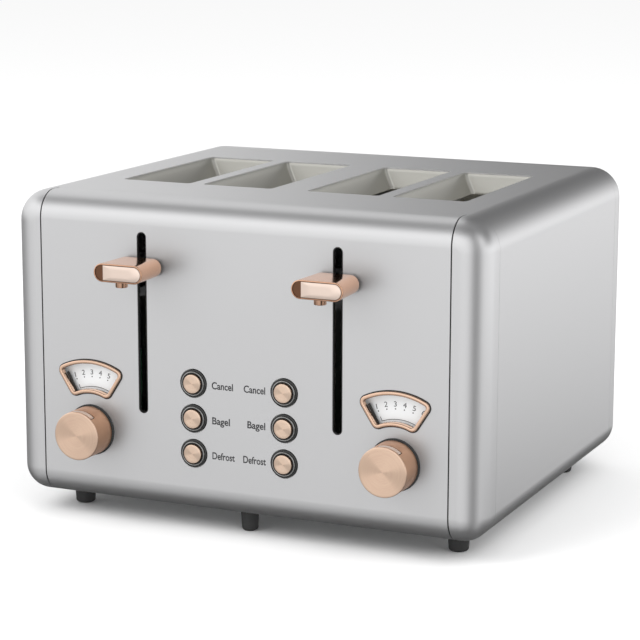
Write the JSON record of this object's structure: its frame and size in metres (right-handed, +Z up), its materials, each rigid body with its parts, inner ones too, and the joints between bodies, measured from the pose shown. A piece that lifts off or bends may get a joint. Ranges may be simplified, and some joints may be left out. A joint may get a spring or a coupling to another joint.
{
  "type": "pop up toaster",
  "caption": "Pop up toaster with long bread slots, sliding levers, push buttons, browning knobs with fan-shaped gauges, and crumb trays that pull out of the back.",
  "frame": {"origin": "on the surface it stands on, below the middle of its overall box", "axes": "+Z up, -Y out of the control panel, +X to the right of someone facing the panel"},
  "size_m": [0.32, 0.3148, 0.2106],
  "materials": {
    "brushed_steel": "fine brushed",
    "zinc_steel": "satin zinc",
    "throat_steel": "satin",
    "bright_steel": "bright",
    "wire_chrome": "bright wire",
    "rose_gold": "spun and satin, rose gold plated",
    "rose_plate": "polished, pale rose gold",
    "black_plastic": "gloss",
    "black_rubber": "matte",
    "mica": "mica board with ribbon",
    "copper_coil": "wound coil",
    "circuit_board": "board with parts",
    "dial_face": "silver white",
    "needle": "black"
  },
  "bodies": {
    "housing": {"main_wrap": "brushed_steel", "front_panel": "brushed_steel", "rear_panel": "brushed_steel", "front_corner_left": "brushed_steel", "front_corner_right": "brushed_steel", "base_plate": "zinc_steel", "feet": "black_rubber", "bottom_screws": "zinc_steel", "chassis_front": "zinc_steel", "chassis_rear": "zinc_steel", "guide_rods": "bright_steel", "cord_gland": "black_plastic", "knob_washers": "black_plastic", "button_rings": "bright_steel", "slot_throats_left": "throat_steel", "heater_left_outer": "mica", "heater_left_middle": "mica", "heater_left_inner": "mica", "lever_slot_trim_left": "black_plastic", "electromagnet_left": "copper_coil", "control_board_left": "circuit_board", "gauge_bezel_left": "rose_gold", "gauge_dial_left": "dial_face", "slot_throats_right": "throat_steel", "heater_right_outer": "mica", "heater_right_middle": "mica", "heater_right_inner": "mica", "lever_slot_trim_right": "black_plastic", "electromagnet_right": "copper_coil", "control_board_right": "circuit_board", "gauge_bezel_right": "rose_gold", "gauge_dial_right": "dial_face"},
    "lever_left": {"lever_handle_left": "rose_gold", "lever_inlay_left": "rose_plate", "lever_carriage_left": "zinc_steel", "bread_rack_left_inner": "zinc_steel", "bread_rack_left_outer": "zinc_steel", "return_spring_left": "bright_steel"},
    "guard_left_left": {"guard_left_left_faces": "wire_chrome"},
    "guard_left_right": {"guard_left_right_faces": "wire_chrome"},
    "knob_left": {"browning_knob_left": "rose_gold", "gauge_needle_left": "needle"},
    "button_cancel_left": {"button_cancel_left": "rose_gold"},
    "button_bagel_left": {"button_bagel_left": "rose_gold"},
    "button_defrost_left": {"button_defrost_left": "rose_gold"},
    "tray_left": {"crumb_tray_left": "zinc_steel"},
    "lever_right": {"lever_handle_right": "rose_gold", "lever_inlay_right": "rose_plate", "lever_carriage_right": "zinc_steel", "bread_rack_right_inner": "zinc_steel", "bread_rack_right_outer": "zinc_steel", "return_spring_right": "bright_steel"},
    "guard_right_left": {"guard_right_left_faces": "wire_chrome"},
    "guard_right_right": {"guard_right_right_faces": "wire_chrome"},
    "knob_right": {"browning_knob_right": "rose_gold", "gauge_needle_right": "needle"},
    "button_cancel_right": {"button_cancel_right": "rose_gold"},
    "button_bagel_right": {"button_bagel_right": "rose_gold"},
    "button_defrost_right": {"button_defrost_right": "rose_gold"},
    "tray_right": {"crumb_tray_right": "zinc_steel"}
  },
  "joints": [
    {"name": "lever_left_slide", "type": "slide", "parent": "housing", "child": "lever_left", "axis": [0, 0, 1], "range_m": [-0.088, 0.014], "stiffness_N_per_m": 150, "springref_m": 0.02, "deforming": ["return_spring_left"]},
    {"name": "guard_left_left_close", "type": "slide", "parent": "housing", "child": "guard_left_left", "axis": [1, 0, 0], "range_m": [-0.001, 0.0061]},
    {"name": "guard_left_right_close", "type": "slide", "parent": "housing", "child": "guard_left_right", "axis": [-1, 0, 0], "range_m": [-0.001, 0.0061]},
    {"name": "knob_left_turn", "type": "hinge", "parent": "housing", "child": "knob_left", "pos_m": [-0.1041, -0.12665, 0.0602], "axis": [0, 1, 0], "range_deg": [0, 54]},
    {"name": "button_cancel_left_press", "type": "slide", "parent": "housing", "child": "button_cancel_left", "axis": [0, 1, 0], "range_m": [0, 0.0018], "stiffness_N_per_m": 600},
    {"name": "button_bagel_left_press", "type": "slide", "parent": "housing", "child": "button_bagel_left", "axis": [0, 1, 0], "range_m": [0, 0.0018], "stiffness_N_per_m": 600},
    {"name": "button_defrost_left_press", "type": "slide", "parent": "housing", "child": "button_defrost_left", "axis": [0, 1, 0], "range_m": [0, 0.0018], "stiffness_N_per_m": 600},
    {"name": "tray_left_slide", "type": "slide", "parent": "housing", "child": "tray_left", "axis": [0, 1, 0], "range_m": [0, 0.2]},
    {"name": "lever_right_slide", "type": "slide", "parent": "housing", "child": "lever_right", "axis": [0, 0, 1], "range_m": [-0.088, 0.014], "stiffness_N_per_m": 150, "springref_m": 0.02, "deforming": ["return_spring_right"]},
    {"name": "guard_right_left_close", "type": "slide", "parent": "housing", "child": "guard_right_left", "axis": [1, 0, 0], "range_m": [-0.001, 0.0061]},
    {"name": "guard_right_right_close", "type": "slide", "parent": "housing", "child": "guard_right_right", "axis": [-1, 0, 0], "range_m": [-0.001, 0.0061]},
    {"name": "knob_right_turn", "type": "hinge", "parent": "housing", "child": "knob_right", "pos_m": [0.1041, -0.12665, 0.0602], "axis": [0, 1, 0], "range_deg": [0, 54]},
    {"name": "button_cancel_right_press", "type": "slide", "parent": "housing", "child": "button_cancel_right", "axis": [0, 1, 0], "range_m": [0, 0.0018], "stiffness_N_per_m": 600},
    {"name": "button_bagel_right_press", "type": "slide", "parent": "housing", "child": "button_bagel_right", "axis": [0, 1, 0], "range_m": [0, 0.0018], "stiffness_N_per_m": 600},
    {"name": "button_defrost_right_press", "type": "slide", "parent": "housing", "child": "button_defrost_right", "axis": [0, 1, 0], "range_m": [0, 0.0018], "stiffness_N_per_m": 600},
    {"name": "tray_right_slide", "type": "slide", "parent": "housing", "child": "tray_right", "axis": [0, 1, 0], "range_m": [0, 0.2]}
  ],
  "couplings": [
    {"joint": "guard_left_left_close", "follows": "lever_left_slide", "ratio": -0.068},
    {"joint": "guard_left_right_close", "follows": "lever_left_slide", "ratio": -0.068},
    {"joint": "guard_right_left_close", "follows": "lever_right_slide", "ratio": -0.068},
    {"joint": "guard_right_right_close", "follows": "lever_right_slide", "ratio": -0.068}
  ]
}
